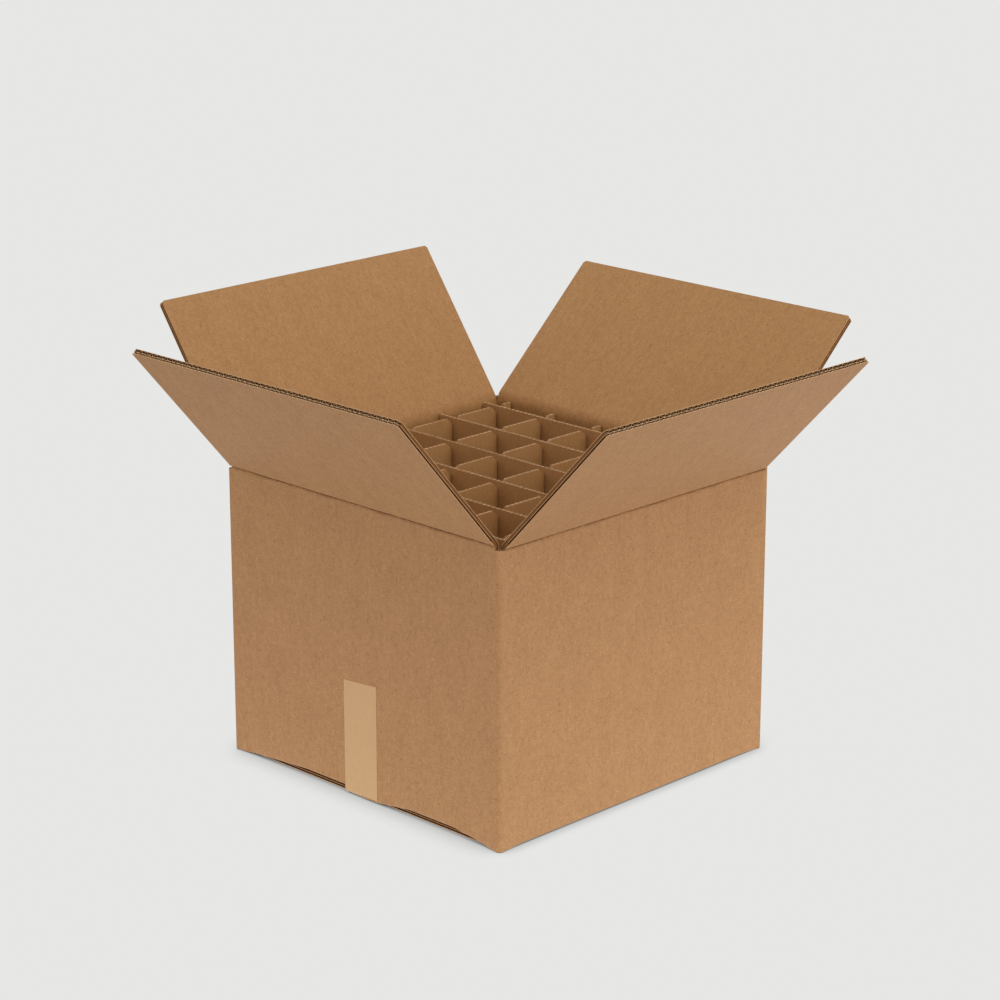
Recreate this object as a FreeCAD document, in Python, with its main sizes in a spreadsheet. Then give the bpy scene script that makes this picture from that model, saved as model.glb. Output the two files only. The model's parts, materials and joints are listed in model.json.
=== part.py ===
import FreeCAD, Part
import math
import os
import Sketcher

# A square shipping box of double-wall corrugated board, with four open top flaps, closed bottom flaps,
# a strip of paper tape and an interlocking divider that makes a grid of bottle cells.
# Millimetres. Origin on the floor under the middle of the box, X to the right, Y to the back, Z up.

DOCUMENT = "bottle_shipping_box"
SHEET = "sizes"

SIZES = [
    ("box_length", 400, "outside, left to right"),
    ("box_width", 400, "outside, front to back"),
    ("inside_height", 302, "from the floor flaps to the shut side flaps"),
    ("board_thickness", 6, "double-wall board"),
    ("corner_radius", 5, "outside of the upright corners"),
    ("corner_foot", 1, "from the floor to the cut board under an upright corner"),
    ("fold_radius", 4.5, "outside of the bottom folds"),
    ("layer_gap", 0.2, "between boards that lie on each other"),
    ("flap_side_gap", 0.6, "from a flap's side edge to the wall that it passes"),
    ("flap_middle_gap", 1.2, "between two flaps that meet in the middle"),
    ("flap_corner_cut", 2.5, "trimmed free corners of the top flaps"),
    ("crease_radius", 0.6, "half the thickness of the crushed board at a crease"),
    ("crease_gap", 0.2, "between the crushed crease and the wall under it"),
    ("front_flap_lean", 41.0, "degrees outwards from upright"),
    ("right_flap_lean", 43.3, "degrees outwards from upright"),
    ("left_flap_lean", 35.6, "degrees outwards from upright"),
    ("back_flap_lean", 47.1, "degrees outwards from upright"),
    ("liner_thickness", 0.35, "flat paper on each side of a fluted layer"),
    ("wide_flute_height", 2.9, "fluted layer on the inside of the box"),
    ("wide_flute_pitch", 7.75, "wave length of that layer"),
    ("fine_flute_pitch", 6.25, "wave length of the fluted layer on the outside"),
    ("flute_paper", 0.3, "thickness of the wavy paper"),
    ("flute_mouth_share", 0.36, "half the width of a flute's mouth, as a share of the wave length"),
    ("flute_crush", 12, "length of the flutes that the crease presses shut"),
    ("flute_margin", 6, "from a flap's side edge to its first flute"),
    ("tape_width", 48, "paper tape"),
    ("tape_thickness", 0.3, "paper tape"),
    ("tape_rise", 124, "height of the tape's ends on the front and the back wall"),
    ("tape_bend_radius", 6.5, "outside of the tape's bends"),
    ("strip_thickness", 3, "single-wall board of the divider"),
    ("strip_count", 6, "strips each way"),
    ("first_strip_inset", 21.5, "from a wall's inside to the middle of the first strip"),
    ("strip_end_gap", 1, "from a strip's end to the wall"),
    ("strip_seat_gap", 0.2, "under the strips"),
    ("strip_top_gap", 0.3, "from the strips to the shut side flaps"),
    ("slot_side_gap", 0.4, "each side of the crossing strip"),
    ("slot_end_gap", 0.3, "past half the height"),
    ("slot_mouth_width", 7, "widening of a slot on each side at its mouth"),
    ("slot_mouth_depth", 7, "depth of the widened mouth"),
]

# Where a sketch's geometry, or a lean, starts before its expressions put it in place
ROUGH_SIZE = 100
ROUGH_ANGLE = 30

# Expressions that several pieces share, in terms of the sizes above
INNER_X = "(sizes.box_length / 2 - sizes.board_thickness)"
INNER_Y = "(sizes.box_width / 2 - sizes.board_thickness)"
FLAP_HALF_X = "(" + INNER_X + " - sizes.flap_side_gap)"
FLAP_HALF_Y = "(" + INNER_Y + " - sizes.flap_side_gap)"
LAYER_STEP = "(sizes.board_thickness + sizes.layer_gap)"
FLOOR_TOP = "(2 * sizes.board_thickness + sizes.layer_gap)"
SIDE_SHUT = "(" + FLOOR_TOP + " + sizes.inside_height)"
END_SHUT = "(" + SIDE_SHUT + " + " + LAYER_STEP + ")"
CREASE_REACH = "(sizes.board_thickness - sizes.crease_radius)"
GROOVE_DEPTH = "(sizes.board_thickness - 2 * sizes.crease_radius + sizes.crease_gap / 2)"
STRIP_HEIGHT = "(sizes.inside_height - sizes.strip_seat_gap - sizes.strip_top_gap)"
STRIP_BASE = "(" + FLOOR_TOP + " + sizes.strip_seat_gap)"
HALF_SLOT = "(sizes.strip_thickness / 2 + sizes.slot_side_gap)"

# The outside of a bottom fold, as steps of 30 degrees round it: how far in from the wall and how far up
FOLD = [
    ("sizes.fold_radius", "0"),
    ("sizes.fold_radius / 2", "sizes.fold_radius * (1 - sqrt(3) / 2)"),
    ("sizes.fold_radius * (1 - sqrt(3) / 2)", "sizes.fold_radius / 2"),
    ("0", "sizes.fold_radius"),
]


def new_sheet(doc):
    """The spreadsheet of driving dimensions, one row each."""
    sheet = doc.addObject("Spreadsheet::Sheet", SHEET)
    for row, (alias, value, note) in enumerate(SIZES, start=1):
        sheet.set("A%d" % row, alias)
        sheet.set("B%d" % row, str(value))
        sheet.set("C%d" % row, note)
        sheet.setAlias("B%d" % row, alias)
    doc.recompute()
    return sheet


def new_body(doc, name):
    """An empty body whose label names the piece."""
    body = doc.addObject("PartDesign::Body", name)
    body.Label = name
    return body


def origin_feature(body, role):
    """The body's own origin plane or axis with this role."""
    for feature in body.Origin.OriginFeatures:
        if feature.Role == role:
            return feature
    raise ValueError("no origin feature " + role)


def new_sketch(body, name, role, lift=None):
    """A sketch on one of the body's origin planes, moved along the plane's normal by the expression lift."""
    sketch = body.newObject("Sketcher::SketchObject", name)
    sketch.AttachmentSupport = [(origin_feature(body, role), "")]
    sketch.MapMode = "FlatFace"
    if lift:
        sketch.setExpression("AttachmentOffset.Base.z", lift)
    return sketch


def bind(sketch, kind, geometry, point, expression):
    """A distance along one axis from the sketch's origin to a point, tied to an expression."""
    index = sketch.addConstraint(Sketcher.Constraint(kind, -1, 1, geometry, point, ROUGH_SIZE))
    name = "%s_%d" % (kind, index)
    sketch.renameConstraint(index, name)
    sketch.setExpression("Constraints." + name, expression)


def polygon(sketch, corners):
    """A closed outline whose corners are pairs of expressions, in order round the outline."""
    count = len(corners)
    turns = [2 * math.pi * i / count for i in range(count)]
    rough = [FreeCAD.Vector(ROUGH_SIZE * math.cos(turn), ROUGH_SIZE * math.sin(turn), 0) for turn in turns]
    lines = [
        sketch.addGeometry(Part.LineSegment(rough[i], rough[(i + 1) % count]), False) for i in range(count)
    ]
    for i in range(count):
        sketch.addConstraint(Sketcher.Constraint("Coincident", lines[i], 2, lines[(i + 1) % count], 1))
    for line, (across, along) in zip(lines, corners):
        bind(sketch, "DistanceX", line, 1, across)
        bind(sketch, "DistanceY", line, 1, along)


def rectangle(sketch, low, high):
    """An upright rectangle between two corners, each a pair of expressions."""
    polygon(sketch, [low, (high[0], low[1]), high, (low[0], high[1])])


def circle(sketch, radius):
    """A circle about the sketch's origin."""
    index = sketch.addGeometry(Part.Circle(FreeCAD.Vector(0, 0, 0), FreeCAD.Vector(0, 0, 1), ROUGH_SIZE), False)
    sketch.addConstraint(Sketcher.Constraint("Coincident", index, 3, -1, 1))
    place = sketch.addConstraint(Sketcher.Constraint("Radius", index, ROUGH_SIZE))
    sketch.renameConstraint(place, "circle_radius")
    sketch.setExpression("Constraints.circle_radius", radius)


def pad(body, sketch, name, length, middle=True):
    """Material from the sketch, to both sides of it or along its normal."""
    feature = body.newObject("PartDesign::Pad", name)
    feature.Profile = sketch
    feature.SideType = "Symmetric" if middle else "One side"
    feature.setExpression("Length", length)
    return feature


def pocket(body, sketch, name, length, middle=True, flip=False):
    """A cut from the sketch, to both sides of it or against its normal."""
    feature = body.newObject("PartDesign::Pocket", name)
    feature.Profile = sketch
    feature.SideType = "Symmetric" if middle else "One side"
    feature.Reversed = flip
    feature.setExpression("Length", length)
    return feature


def row_of(body, feature, name, role, count, span):
    """Copies of a feature along one of the body's axes, spread over a span."""
    pattern = body.newObject("PartDesign::LinearPattern", name)
    pattern.Originals = [feature]
    pattern.Direction = (origin_feature(body, role), [""])
    pattern.setExpression("Length", span)
    pattern.setExpression("Occurrences", count)
    body.Tip = pattern
    return pattern


def pick_edges(body, chosen):
    """The edges of the body's present shape that the test picks, as a link to its last feature."""
    body.Document.recompute()
    base = body.Tip
    edges = ["Edge%d" % (i + 1) for i, edge in enumerate(base.Shape.Edges) if chosen(edge)]
    if not edges:
        raise ValueError("no such edge on " + body.Label)
    return (base, edges)


def round_edges(body, name, radius, chosen):
    """Rounds the edges that the test picks."""
    picked = pick_edges(body, chosen)
    feature = body.newObject("PartDesign::Fillet", name)
    feature.Base = picked
    feature.setExpression("Radius", radius)
    return feature


def trim_edges(body, name, size, chosen):
    """Cuts the edges that the test picks off at 45 degrees."""
    picked = pick_edges(body, chosen)
    feature = body.newObject("PartDesign::Chamfer", name)
    feature.Base = picked
    feature.setExpression("Size", size)
    return feature


def along(edge, axis):
    """True for a straight edge that lies along one axis: 0, 1 or 2."""
    if not isinstance(edge.Curve, (Part.Line, Part.LineSegment)):
        return False
    direction = edge.Vertexes[-1].Point - edge.Vertexes[0].Point
    return all(abs(direction[i]) < 1e-6 for i in range(3) if i != axis)


def near(edge, axis, value):
    """True for an edge whose middle is at this distance from the origin along an axis, on either side."""
    middle = (edge.Vertexes[0].Point + edge.Vertexes[-1].Point) * 0.5
    return abs(abs(middle[axis]) - value) < 0.01


def add_walls(body):
    """Four walls in one ring, up to the creases of the side flaps."""
    outer = new_sketch(body, "wall_outline", "XY_Plane", lift="sizes.corner_foot")
    rectangle(
        outer,
        ("-sizes.box_length / 2", "-sizes.box_width / 2"),
        ("sizes.box_length / 2", "sizes.box_width / 2"),
    )
    pad(body, outer, "walls", SIDE_SHUT + " - sizes.crease_gap - sizes.corner_foot", middle=False)
    round_edges(body, "upright_corners", "sizes.corner_radius", lambda edge: along(edge, 2))
    inner = new_sketch(body, "inside_outline", "XY_Plane")
    rectangle(inner, ("-" + INNER_X, "-" + INNER_Y), (INNER_X, INNER_Y))
    pocket(body, inner, "inside", SIDE_SHUT, middle=False, flip=True)


def add_high_walls(body):
    """The front and back walls rise by one board, so that their flaps close over the side flaps."""
    top = END_SHUT + " - sizes.crease_gap"
    for side, sign in (("front", "-"), ("back", "")):
        sketch = new_sketch(body, side + "_rise_profile", "YZ_Plane")
        rectangle(
            sketch,
            (sign + INNER_Y, SIDE_SHUT + " - sizes.crease_gap - sizes.board_thickness"),
            (sign + "sizes.box_width / 2", top),
        )
        pad(body, sketch, side + "_rise", "2 * " + FLAP_HALF_X)


def cut_creases(body):
    """A 45 degree groove along the top of each wall, where the board is crushed so that its flap can fold out."""
    walls = [
        ("front", "YZ_Plane", "-", "sizes.box_width / 2", END_SHUT, "2 * " + FLAP_HALF_X),
        ("back", "YZ_Plane", "", "sizes.box_width / 2", END_SHUT, "2 * " + FLAP_HALF_X),
        ("left", "XZ_Plane", "-", "sizes.box_length / 2", SIDE_SHUT, "2 * " + INNER_Y),
        ("right", "XZ_Plane", "", "sizes.box_length / 2", SIDE_SHUT, "2 * " + INNER_Y),
    ]
    for side, role, sign, face, shut, length in walls:
        sketch = new_sketch(body, side + "_groove_profile", role)
        tip = shut + " - sizes.crease_gap"
        foot = tip + " - " + GROOVE_DEPTH
        lip = sign + "(" + face + " - " + GROOVE_DEPTH + ")"
        beyond = sign + "(" + face + " + sizes.board_thickness)"
        above = tip + " + sizes.board_thickness"
        polygon(sketch, [(lip, tip), (sign + face, foot), (beyond, foot), (beyond, above), (lip, above)])
        pocket(body, sketch, side + "_groove", length)


def add_floor_flaps(body):
    """The bottom flaps: the front and back pair inside, the side pair outside, both folded in and meeting."""
    pairs = [
        ("inner", "YZ_Plane", "sizes.box_width / 2", LAYER_STEP, "2 * " + FLAP_HALF_X),
        ("outer", "XZ_Plane", "sizes.box_length / 2", "0", "2 * " + FLAP_HALF_Y),
    ]
    for pair, role, face, base, length in pairs:
        for end, sign in (("low", "-"), ("high", "")):
            gap = new_sketch(body, pair + "_" + end + "_foot_profile", role)
            rectangle(
                gap,
                (sign + "(" + face + " - sizes.board_thickness)", "-sizes.board_thickness"),
                (sign + "(" + face + " + sizes.board_thickness)", base + " + sizes.fold_radius"),
            )
            pocket(body, gap, pair + "_" + end + "_foot", length)
        for end, sign in (("low", "-"), ("high", "")):
            flap = new_sketch(body, pair + "_" + end + "_flap_profile", role)
            seam = sign + "sizes.flap_middle_gap / 2"
            top = base + " + sizes.board_thickness"
            fold = [(sign + "(" + face + " - " + inwards + ")", base + " + " + upwards) for inwards, upwards in FOLD]
            polygon(flap, [(seam, base)] + fold + [(sign + face, top), (seam, top)])
            pad(body, flap, pair + "_" + end + "_flap", length)


def build_shell(doc):
    """The box itself, one folded sheet: four walls and four bottom flaps."""
    body = new_body(doc, "box_shell")
    add_walls(body)
    add_high_walls(body)
    cut_creases(body)
    add_floor_flaps(body)
    bed = new_sketch(body, "tape_bed_outline", "XY_Plane")
    rectangle(
        bed,
        ("-sizes.tape_width / 2", "-sizes.box_width / 2"),
        ("sizes.tape_width / 2", "sizes.box_width / 2"),
    )
    pocket(body, bed, "tape_bed", "sizes.tape_thickness", middle=False, flip=True)
    return body


def flutes(body, name, role, half, reach, row_low, row_high, pitch):
    """One row of flute mouths in the free edge of a flap, run down to where the crease presses them shut."""
    gaps = "floor(2 * (" + half + " - sizes.flute_margin) / sizes." + pitch + ")"
    start = "-(" + gaps + " * sizes." + pitch + " / 2)"
    wide = "(sizes.flute_mouth_share * sizes." + pitch + ")"
    sketch = new_sketch(body, name + "_profile", "XY_Plane", lift=reach)
    points = [
        (start + " - " + wide, row_low),
        (start + " + " + wide, row_low),
        (start, row_high),
    ]
    if role == "Y_Axis":
        points = [(across, lengthwise) for lengthwise, across in points]
    polygon(sketch, points)
    cut = pocket(body, sketch, name, reach + " - sizes.flute_crush", middle=False)
    row_of(body, cut, name + "_row", role, gaps + " + 1", gaps + " * sizes." + pitch)


def build_flap(doc, side):
    """A top flap, modelled upright on its crease, then leaned outwards about the crease."""
    crosswise = side in ("front", "back")
    sign = "-" if side in ("front", "left") else ""
    role = "YZ_Plane" if crosswise else "XZ_Plane"
    hinge_role = "X_Axis" if crosswise else "Y_Axis"
    half = FLAP_HALF_X if crosswise else FLAP_HALF_Y
    inner = INNER_Y if crosswise else INNER_X
    shut = END_SHUT if crosswise else SIDE_SHUT
    reach = "(" + inner + " + sizes.crease_radius - sizes.flap_middle_gap / 2)"
    body = new_body(doc, side + "_flap")
    panel = new_sketch(body, side + "_panel_profile", role)
    inside = ("" if sign else "-") + "sizes.crease_radius"
    outside = sign + CREASE_REACH
    polygon(panel, [("0", "0"), (outside, CREASE_REACH), (outside, reach), (inside, reach), (inside, "0")])
    pad(body, panel, side + "_panel", "2 * " + half)
    bead = new_sketch(body, side + "_crease_profile", role)
    circle(bead, "sizes.crease_radius")
    pad(body, bead, side + "_crease", "2 * " + half)
    across_axis = 1 if crosswise else 0
    top = body.Document.getObject(side + "_panel")
    body.Document.recompute()
    height = top.Shape.BoundBox.ZMax
    trim_edges(
        body,
        side + "_corners",
        "sizes.flap_corner_cut",
        lambda edge: along(edge, across_axis) and near(edge, 2, height),
    )
    low = "(-sizes.crease_radius + sizes.liner_thickness)"
    middle = "(" + low + " + sizes.wide_flute_height)"
    high = "(" + CREASE_REACH + " - sizes.liner_thickness)"
    flip = "-" if sign else ""
    flutes(
        body, side + "_wide_flutes", hinge_role, half, reach,
        flip + low, flip + "(" + middle + " - sizes.flute_paper)", "wide_flute_pitch",
    )
    flutes(
        body, side + "_fine_flutes", hinge_role, half, reach,
        flip + "(" + middle + " + sizes.liner_thickness)", flip + "(" + high + " - sizes.flute_paper)",
        "fine_flute_pitch",
    )
    axes = {"front": (1, 0, 0), "back": (-1, 0, 0), "left": (0, -1, 0), "right": (0, 1, 0)}
    turn = FreeCAD.Rotation(FreeCAD.Vector(*axes[side]), ROUGH_ANGLE)
    body.Placement = FreeCAD.Placement(FreeCAD.Vector(0, 0, 0), turn)
    body.setExpression("Placement.Rotation.Angle", "sizes." + side + "_flap_lean")
    place = sign + "(" + inner + " + sizes.crease_radius)"
    body.setExpression("Placement.Base." + ("y" if crosswise else "x"), place)
    body.setExpression("Placement.Base.z", shut + " + sizes.crease_radius")
    return body


def build_tape(doc, sizes):
    """One strip of paper tape along the seam under the box and up the front and back walls."""
    body = new_body(doc, "bottom_tape")
    face = "sizes.box_width / 2"
    skin = "(" + face + " + sizes.tape_thickness)"
    profile = new_sketch(body, "tape_profile", "YZ_Plane")
    polygon(
        profile,
        [
            ("-" + skin, "0"),
            (skin, "0"),
            (skin, "sizes.tape_rise"),
            (face, "sizes.tape_rise"),
            (face, "sizes.tape_thickness"),
            ("-" + face, "sizes.tape_thickness"),
            ("-" + face, "sizes.tape_rise"),
            ("-" + skin, "sizes.tape_rise"),
        ],
    )
    pad(body, profile, "tape_strip", "sizes.tape_width")
    round_edges(
        body, "outer_bends", "sizes.tape_bend_radius",
        lambda edge: along(edge, 0) and near(edge, 2, 0),
    )
    inner_bend = "sizes.tape_bend_radius - sizes.tape_thickness"
    round_edges(
        body, "inner_bends", inner_bend,
        lambda edge: along(edge, 0) and near(edge, 1, sizes.box_width / 2)
        and near(edge, 2, sizes.tape_thickness),
    )
    return body


def build_strip(doc, name, runs_along_x, index):
    """One divider strip. Those along X are slotted from below, those along Y from above."""
    role, axis = ("XZ_Plane", "X_Axis") if runs_along_x else ("YZ_Plane", "Y_Axis")
    inner, across = (INNER_X, INNER_Y) if runs_along_x else (INNER_Y, INNER_X)
    half = "(" + inner + " - sizes.strip_end_gap)"
    body = new_body(doc, name)
    sheet_outline = new_sketch(body, name + "_outline", role)
    rectangle(sheet_outline, ("-" + half, "0"), (half, STRIP_HEIGHT))
    pad(body, sheet_outline, name + "_sheet", "sizes.strip_thickness")
    first = "(-" + inner + " + sizes.first_strip_inset)"
    span = "2 * (" + inner + " - sizes.first_strip_inset)"
    slot = new_sketch(body, name + "_slot_profile", role)
    if runs_along_x:
        rectangle(
            slot,
            (first + " - " + HALF_SLOT, "0"),
            (first + " + " + HALF_SLOT, STRIP_HEIGHT + " / 2 + sizes.slot_end_gap"),
        )
    else:
        mouth = "(" + HALF_SLOT + " + sizes.slot_mouth_width)"
        neck = STRIP_HEIGHT + " - sizes.slot_mouth_depth"
        root = STRIP_HEIGHT + " / 2 - sizes.slot_end_gap"
        polygon(
            slot,
            [
                (first + " - " + HALF_SLOT, root),
                (first + " + " + HALF_SLOT, root),
                (first + " + " + HALF_SLOT, neck),
                (first + " + " + mouth, STRIP_HEIGHT),
                (first + " - " + mouth, STRIP_HEIGHT),
                (first + " - " + HALF_SLOT, neck),
            ],
        )
    cut = pocket(body, slot, name + "_slot", "2 * sizes.strip_thickness")
    row_of(body, cut, name + "_slots", axis, "sizes.strip_count", span)
    pitch = "2 * (" + across + " - sizes.first_strip_inset) / (sizes.strip_count - 1)"
    offset = "-" + across + " + sizes.first_strip_inset + %d * " % index + pitch
    body.setExpression("Placement.Base." + ("y" if runs_along_x else "x"), offset)
    body.setExpression("Placement.Base.z", STRIP_BASE)
    return body


def check(doc, bodies):
    """Stops if any object failed or any piece is empty or broken."""
    doc.recompute()
    for item in doc.Objects:
        bad = [state for state in item.State if state in ("Invalid", "Error")]
        if bad:
            raise RuntimeError("%s is %s" % (item.Label, bad))
    for body in bodies:
        if body.Shape.isNull() or not body.Shape.isValid() or not body.Shape.Solids:
            raise RuntimeError(body.Label + " has no valid solid")


def write_parts(bodies):
    """Each piece's shape in a file of its own."""
    os.makedirs("parts", exist_ok=True)
    for body in bodies:
        body.Shape.exportStep("parts/" + body.Label + ".step")
        print("%-20s volume %.1f cm3, faces %d" % (body.Label, body.Shape.Volume / 1000, len(body.Shape.Faces)))


def main():
    doc = FreeCAD.newDocument(DOCUMENT)
    sizes = new_sheet(doc)
    bodies = [build_shell(doc)]
    for side in ("front", "back", "left", "right"):
        bodies.append(build_flap(doc, side))
    bodies.append(build_tape(doc, sizes))
    for index in range(int(sizes.strip_count)):
        bodies.append(build_strip(doc, "row_divider_%d" % (index + 1), True, index))
    for index in range(int(sizes.strip_count)):
        bodies.append(build_strip(doc, "column_divider_%d" % (index + 1), False, index))
    check(doc, bodies)
    write_parts(bodies)


main()
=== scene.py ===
# %% [markdown]
# # A bottle shipping box of corrugated board
# The real object is a square box folded from one sheet of double-wall board. Its four top flaps stand
# open, its bottom is folded shut and held by a strip of paper tape, and inside it thin strips of
# single-wall board lock into each other as a grid of bottle cells. Corrugated board is paper, air and
# wavy paper, so this lesson builds it from real sheets: flat liners, and wavy sheets between them that
# show wherever the board is cut.
#
# The CAD model is loaded first and never moves. It gives the creases, the sizes and the bodies that
# each piece rides on. Lengths of the box are in millimetres, and `MM` turns them into the metres of the
# scene.

# %% Load the frame
import json
import math

import bpy
import numpy as np
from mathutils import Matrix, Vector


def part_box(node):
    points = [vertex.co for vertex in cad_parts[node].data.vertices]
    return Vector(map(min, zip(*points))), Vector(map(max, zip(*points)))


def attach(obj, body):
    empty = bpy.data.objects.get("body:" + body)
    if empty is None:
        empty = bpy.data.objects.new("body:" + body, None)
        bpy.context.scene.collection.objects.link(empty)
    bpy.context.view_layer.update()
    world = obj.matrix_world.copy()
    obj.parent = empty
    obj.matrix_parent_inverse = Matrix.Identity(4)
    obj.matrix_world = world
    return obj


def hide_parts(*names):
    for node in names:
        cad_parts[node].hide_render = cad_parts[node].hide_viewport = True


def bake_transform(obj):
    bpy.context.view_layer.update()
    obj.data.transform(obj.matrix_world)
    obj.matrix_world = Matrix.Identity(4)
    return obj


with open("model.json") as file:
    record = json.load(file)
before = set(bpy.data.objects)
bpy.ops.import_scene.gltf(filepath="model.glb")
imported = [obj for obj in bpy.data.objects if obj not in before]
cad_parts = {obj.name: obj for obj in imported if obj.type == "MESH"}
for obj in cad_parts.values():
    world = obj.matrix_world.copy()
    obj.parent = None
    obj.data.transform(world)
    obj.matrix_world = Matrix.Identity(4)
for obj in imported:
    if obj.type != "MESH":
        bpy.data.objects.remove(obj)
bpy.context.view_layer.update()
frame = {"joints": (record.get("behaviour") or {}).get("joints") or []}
MM = 0.001

# %% [markdown]
# ## Camera
# A photograph of a product is mostly taken with a long lens from a little above. Matching it means
# finding where the camera stood: the corners of the walls and flaps in the picture were compared with
# the corners of the model until both agreed. Another way is to move the camera by eye, but a measured
# one keeps every later step honest.

# %% Camera
LENS, SENSOR, FAR_CLIP = 109.4, 36.0, 100.0
CAMERA_AT = (2.1397, -2.1604, 1.2097)
TILTED_DOWN, TURNED = 17.04, 44.69

camera_data = bpy.data.cameras.new("camera")
camera_data.lens = LENS
camera_data.sensor_width = SENSOR
camera_data.clip_end = FAR_CLIP
camera = bpy.data.objects.new("camera", camera_data)
camera.location = CAMERA_AT
camera.rotation_euler = (math.radians(90 - TILTED_DOWN), 0, math.radians(TURNED))
bpy.context.scene.collection.objects.link(camera)
bpy.context.scene.camera = camera
print("camera", round(camera.location.length, 3), "m from the foot of the box")

# %% [markdown]
# ## Pale floor and soft light
# The box stands on a seamless pale sheet. The camera sees that sheet as an even glow, darker only where
# the box hides the sky from it, which gives the thin contact shadow. For all other rays the floor is a
# glow that fades away from the box and leans a little to the right, so it throws light back up on the
# lower walls. The sky gives most of the light and three wide suns shape it. A sun has the same strength
# everywhere, where an area lamp would leave a bright patch. A lit diffuse floor is the plainer way, but
# then one light has to serve both the box and the even background.

# %% Floor, sky and suns
PALE = (0.799, 0.799, 0.784)
SKY_COLOUR, SKY_STRENGTH = (0.98, 0.99, 1.0), 0.80
# Each sun: its strength, its height and heading in degrees, and its width in radians.
SUNS = {
    "right_sun": (0.55, 38, 100, 0.7),
    "left_sun": (0.20, 36, -30, 0.9),
    "top_sun": (0.45, 66, 100, 0.4),
}
FLOOR_HALF, FLOOR_DROP = 30, 0.0002
# What changes along the floor: from here, to there, in metres, and its value at both.
GLOW_FADE = (0.2, 1.5, 1.24, 0.66)
GLOW_TILT = (-0.7, 0.7, 0.89, 1.11)
SHADOW_REACH = (0.19, 0.21, 0.045, 0.022)
SHADOW_DEPTH, SHADOW_POWER = 0.27, 2.0


def linear(r, g, b):
    """A colour as the eye reads it, 0 to 255, in the linear values that a shader wants."""
    levels = [c / 255 for c in (r, g, b)]
    return [c / 12.92 if c <= 0.04045 else ((c + 0.055) / 1.055) ** 2.4 for c in levels]


def place(tree, kind, **values):
    """A new node with some of its settings."""
    node = tree.nodes.new(kind)
    for name, value in values.items():
        setattr(node, name, value)
    return node


def maths(tree, operation, *terms, clamp=False):
    """A maths node whose inputs are sockets or numbers."""
    node = place(tree, "ShaderNodeMath", operation=operation, use_clamp=clamp)
    for slot, term in zip(node.inputs, terms):
        if isinstance(term, (int, float)):
            slot.default_value = term
        else:
            tree.links.new(term, slot)
    return node.outputs[0]


def spread(tree, value, low, high, out_low=0.0, out_high=1.0, **settings):
    """A value spread from one range to another, and held inside it."""
    node = place(tree, "ShaderNodeMapRange", clamp=True, **settings)
    node.inputs["From Min"].default_value = low
    node.inputs["From Max"].default_value = high
    node.inputs["To Min"].default_value = out_low
    node.inputs["To Max"].default_value = out_high
    tree.links.new(value, node.inputs["Value"])
    return node.outputs[0]


def pale_glow(tree, strength):
    """Light in the colour of the floor."""
    node = place(tree, "ShaderNodeEmission")
    node.inputs["Color"].default_value = (*PALE, 1)
    tree.links.new(strength, node.inputs["Strength"])
    return node.outputs[0]


def split_rays(tree, others, seen, end):
    """Shows one shader to the camera and another one to all other rays."""
    rays = place(tree, "ShaderNodeLightPath")
    choose = place(tree, "ShaderNodeMixShader")
    tree.links.new(rays.outputs["Is Camera Ray"], choose.inputs["Fac"])
    tree.links.new(others, choose.inputs[1])
    tree.links.new(seen, choose.inputs[2])
    tree.links.new(choose.outputs["Shader"], end.inputs["Surface"])


scene = bpy.context.scene
scene.view_settings.view_transform = "Standard"
world = bpy.data.worlds.new("sky")
scene.world = world
world.use_nodes = True
tree = world.node_tree
sky = tree.nodes["Background"]
sky.inputs["Color"].default_value = (*SKY_COLOUR, 1)
sky.inputs["Strength"].default_value = SKY_STRENGTH
backdrop = place(tree, "ShaderNodeBackground")
backdrop.inputs["Color"].default_value = (*PALE, 1)
split_rays(tree, sky.outputs[0], backdrop.outputs[0], tree.nodes["World Output"])

for name, (strength, height, heading, width) in SUNS.items():
    lamp = bpy.data.lights.new(name, "SUN")
    lamp.energy = strength
    lamp.angle = width
    sun = bpy.data.objects.new(name, lamp)
    sun.rotation_euler = (math.radians(90 - height), 0, math.radians(heading))
    scene.collection.objects.link(sun)

floor_mesh = bpy.data.meshes.new("floor")
floor_corners = [(x * FLOOR_HALF, y * FLOOR_HALF, 0) for x, y in ((-1, -1), (1, -1), (1, 1), (-1, 1))]
floor_mesh.from_pydata(floor_corners, [], [(0, 1, 2, 3)])
floor = bpy.data.objects.new("floor", floor_mesh)
floor.location.z = -FLOOR_DROP
scene.collection.objects.link(floor)
floor_finish = bpy.data.materials.new("pale_floor")
floor_finish.use_nodes = True
floor_finish.cycles.emission_sampling = "NONE"
floor_mesh.materials.append(floor_finish)

tree = floor_finish.node_tree
tree.nodes.remove(tree.nodes["Principled BSDF"])
where = place(tree, "ShaderNodeNewGeometry").outputs["Position"]
apart = place(tree, "ShaderNodeSeparateXYZ")
tree.links.new(where, apart.inputs[0])
near = place(tree, "ShaderNodeAmbientOcclusion", samples=32)
tree.links.new(spread(tree, apart.outputs["X"], *SHADOW_REACH), near.inputs["Distance"])
# At the foot of a wall half of the sky is hidden, so twice the hidden share is 1 there.
hidden = maths(tree, "MULTIPLY_ADD", near.outputs["AO"], -2.0, 2.0)
shadow = maths(tree, "POWER", hidden, SHADOW_POWER)
seen = pale_glow(tree, maths(tree, "MULTIPLY_ADD", shadow, -SHADOW_DEPTH, 1.0))

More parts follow.
